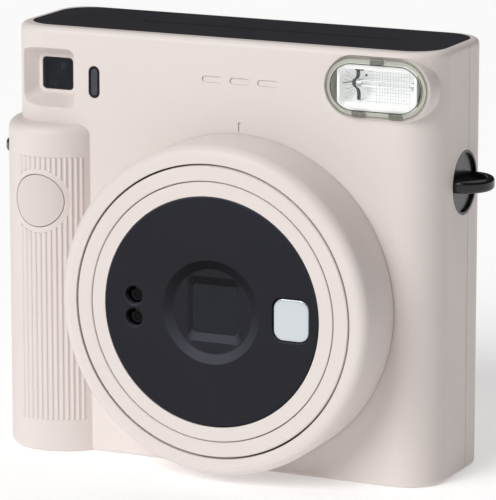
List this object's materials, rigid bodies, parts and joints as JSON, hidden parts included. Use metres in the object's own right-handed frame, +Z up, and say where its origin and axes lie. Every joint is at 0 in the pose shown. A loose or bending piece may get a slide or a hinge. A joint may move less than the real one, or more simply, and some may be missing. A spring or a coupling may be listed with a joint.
{
  "type": "instant camera",
  "caption": "Square-format instant camera with a side grip, a turning lens ring that extends a two-stage barrel, a flash, a viewfinder, a hinged film door and a top film slot.",
  "frame": {"origin": "on the base plane, under the centre of the overall box", "axes": "+Z up, the lens looks along -Y, +X towards the flash side (the right of somebody facing the lens)"},
  "size_m": [0.1466, 0.0576, 0.1186],
  "materials": {
    "cream_plastic": "fine satin texture",
    "panel_black": "satin black",
    "top_black": "fine matt texture",
    "lug_black": "semi gloss",
    "dark_window": "tinted clear",
    "clear_plastic": "clear with a green tint",
    "optical_glass": "clear",
    "flash_silver": "bright",
    "tube_glass": "clear",
    "mirror_silver": "bright",
    "inner_black": "matt",
    "gear_nylon": "plain",
    "blade_steel": "blackened",
    "spring_steel": "plain",
    "board_green": "solder mask",
    "capacitor_sleeve": "shrink sleeve",
    "cell_wrap": "plain wrapper"
  },
  "bodies": {
    "housing": {"front_shell": "cream_plastic", "rear_shell": "cream_plastic", "top_panel": "top_black", "viewfinder_window": "dark_window", "viewfinder_tube": "inner_black", "viewfinder_objective": "optical_glass", "eyepiece_frame": "lug_black", "eyepiece_lens": "dark_window", "light_sensor_window": "dark_window", "flash_cover": "clear_plastic", "flash_reflector": "flash_silver", "flash_tube": "tube_glass", "flash_capacitor": "capacitor_sleeve", "lens_mount": "inner_black", "light_cone": "inner_black", "main_frame": "inner_black", "door_hinge_pin": "spring_steel", "roller_bracket": "inner_black", "drive_motor": "spring_steel", "motor_bracket": "inner_black", "circuit_board": "board_green", "battery_cells": "cell_wrap", "battery_contacts": "spring_steel", "shutter_switch": "inner_black", "strap_lug_right": "lug_black", "strap_lug_left": "lug_black", "counter_window": "clear_plastic", "case_screws": "spring_steel", "button_spring": "spring_steel"},
    "turning_ring": {"lens_ring": "cream_plastic", "ring_retainer": "inner_black"},
    "barrel_stage_1": {"outer_barrel": "cream_plastic", "barrel_guide_pins": "spring_steel"},
    "barrel_stage_2": {"inner_barrel": "cream_plastic", "lens_face_panel": "panel_black", "selfie_mirror": "mirror_silver", "sensor_windows": "dark_window", "lens_cover_glass": "dark_window", "front_lens_element": "optical_glass", "rear_lens_element": "optical_glass", "shutter_base": "inner_black"},
    "blade_a": {"shutter_blade_a": "blade_steel"},
    "blade_b": {"shutter_blade_b": "blade_steel"},
    "release_button": {"shutter_button": "cream_plastic"},
    "door": {"film_door": "cream_plastic", "pack_window": "clear_plastic", "pack_springs": "spring_steel"},
    "latch": {"door_latch": "lug_black", "latch_bolt": "lug_black"},
    "battery_flap": {"battery_cover": "cream_plastic"},
    "drive_roller_set": {"drive_roller": "spring_steel", "roller_gear": "gear_nylon"},
    "pinch_roller_set": {"pinch_roller": "spring_steel"},
    "idler": {"idler_gear": "gear_nylon"},
    "pinion_set": {"motor_pinion": "gear_nylon", "motor_shaft": "spring_steel"},
    "claw": {"pick_claw": "inner_black"},
    "counter": {"film_counter_dial": "inner_black"}
  },
  "joints": [
    {"name": "lens_ring_turn", "type": "hinge", "parent": "housing", "child": "turning_ring", "pos_m": [0.009, -0.02, 0.04795], "axis": [0, -1, 0], "range_deg": [0, 60]},
    {"name": "barrel_stage_1_slide", "type": "slide", "parent": "housing", "child": "barrel_stage_1", "axis": [0, -1, 0], "range_m": [0, 0.0131]},
    {"name": "barrel_stage_2_slide", "type": "slide", "parent": "barrel_stage_1", "child": "barrel_stage_2", "axis": [0, -1, 0], "range_m": [0, 0.0131]},
    {"name": "shutter_blade_a_swing", "type": "hinge", "parent": "barrel_stage_2", "child": "blade_a", "pos_m": [-0.002, -0.0168, 0.04795], "axis": [0, -1, 0], "range_deg": [0, 40], "stiffness_Nm_per_rad": 0.0002},
    {"name": "shutter_blade_b_swing", "type": "hinge", "parent": "barrel_stage_2", "child": "blade_b", "pos_m": [0.02, -0.016, 0.04795], "axis": [0, -1, 0], "range_deg": [0, 40.5]},
    {"name": "shutter_button_press", "type": "slide", "parent": "housing", "child": "release_button", "axis": [0, 1, 0], "range_m": [0, 0.0012], "stiffness_N_per_m": 600, "deforming": ["button_spring"]},
    {"name": "film_door_hinge", "type": "hinge", "parent": "housing", "child": "door", "pos_m": [0.0568, 0.02685, 0.0534], "axis": [0, 0, -1], "range_deg": [0, 100]},
    {"name": "door_latch_slide", "type": "slide", "parent": "door", "child": "latch", "axis": [-1, 0, 0], "range_m": [0, 0.003]},
    {"name": "battery_cover_hinge", "type": "hinge", "parent": "housing", "child": "battery_flap", "pos_m": [-0.0493, 0.0099, 0.0019], "axis": [1, 0, 0], "range_deg": [0, 90]},
    {"name": "drive_roller_spin", "type": "hinge", "parent": "housing", "child": "drive_roller_set", "pos_m": [0.009, 0.01395, 0.107], "axis": [1, 0, 0], "continuous": true},
    {"name": "pinch_roller_spin", "type": "hinge", "parent": "housing", "child": "pinch_roller_set", "pos_m": [0.009, 0.00655, 0.107], "axis": [1, 0, 0], "continuous": true},
    {"name": "idler_gear_spin", "type": "hinge", "parent": "housing", "child": "idler", "pos_m": [-0.035, 0.01395, 0.094], "axis": [1, 0, 0], "continuous": true},
    {"name": "motor_pinion_spin", "type": "hinge", "parent": "housing", "child": "pinion_set", "pos_m": [-0.035, 0.01395, 0.0845], "axis": [1, 0, 0], "continuous": true},
    {"name": "pick_claw_slide", "type": "slide", "parent": "housing", "child": "claw", "axis": [0, 0, 1], "range_m": [0, 0.01]},
    {"name": "film_counter_turn", "type": "hinge", "parent": "housing", "child": "counter", "pos_m": [-0.0502, 0.0256, 0.026], "axis": [0, -1, 0], "range_deg": [0, 270]}
  ],
  "couplings": [
    {"joint": "barrel_stage_1_slide", "follows": "lens_ring_turn", "m_per_rad": 0.012414},
    {"joint": "barrel_stage_2_slide", "follows": "lens_ring_turn", "m_per_rad": 0.012414},
    {"joint": "shutter_blade_b_swing", "follows": "shutter_blade_a_swing", "ratio": 1},
    {"joint": "pinch_roller_spin", "follows": "drive_roller_spin", "ratio": -1},
    {"joint": "idler_gear_spin", "follows": "drive_roller_spin", "ratio": -0.85714},
    {"joint": "motor_pinion_spin", "follows": "drive_roller_spin", "ratio": 2.4}
  ]
}
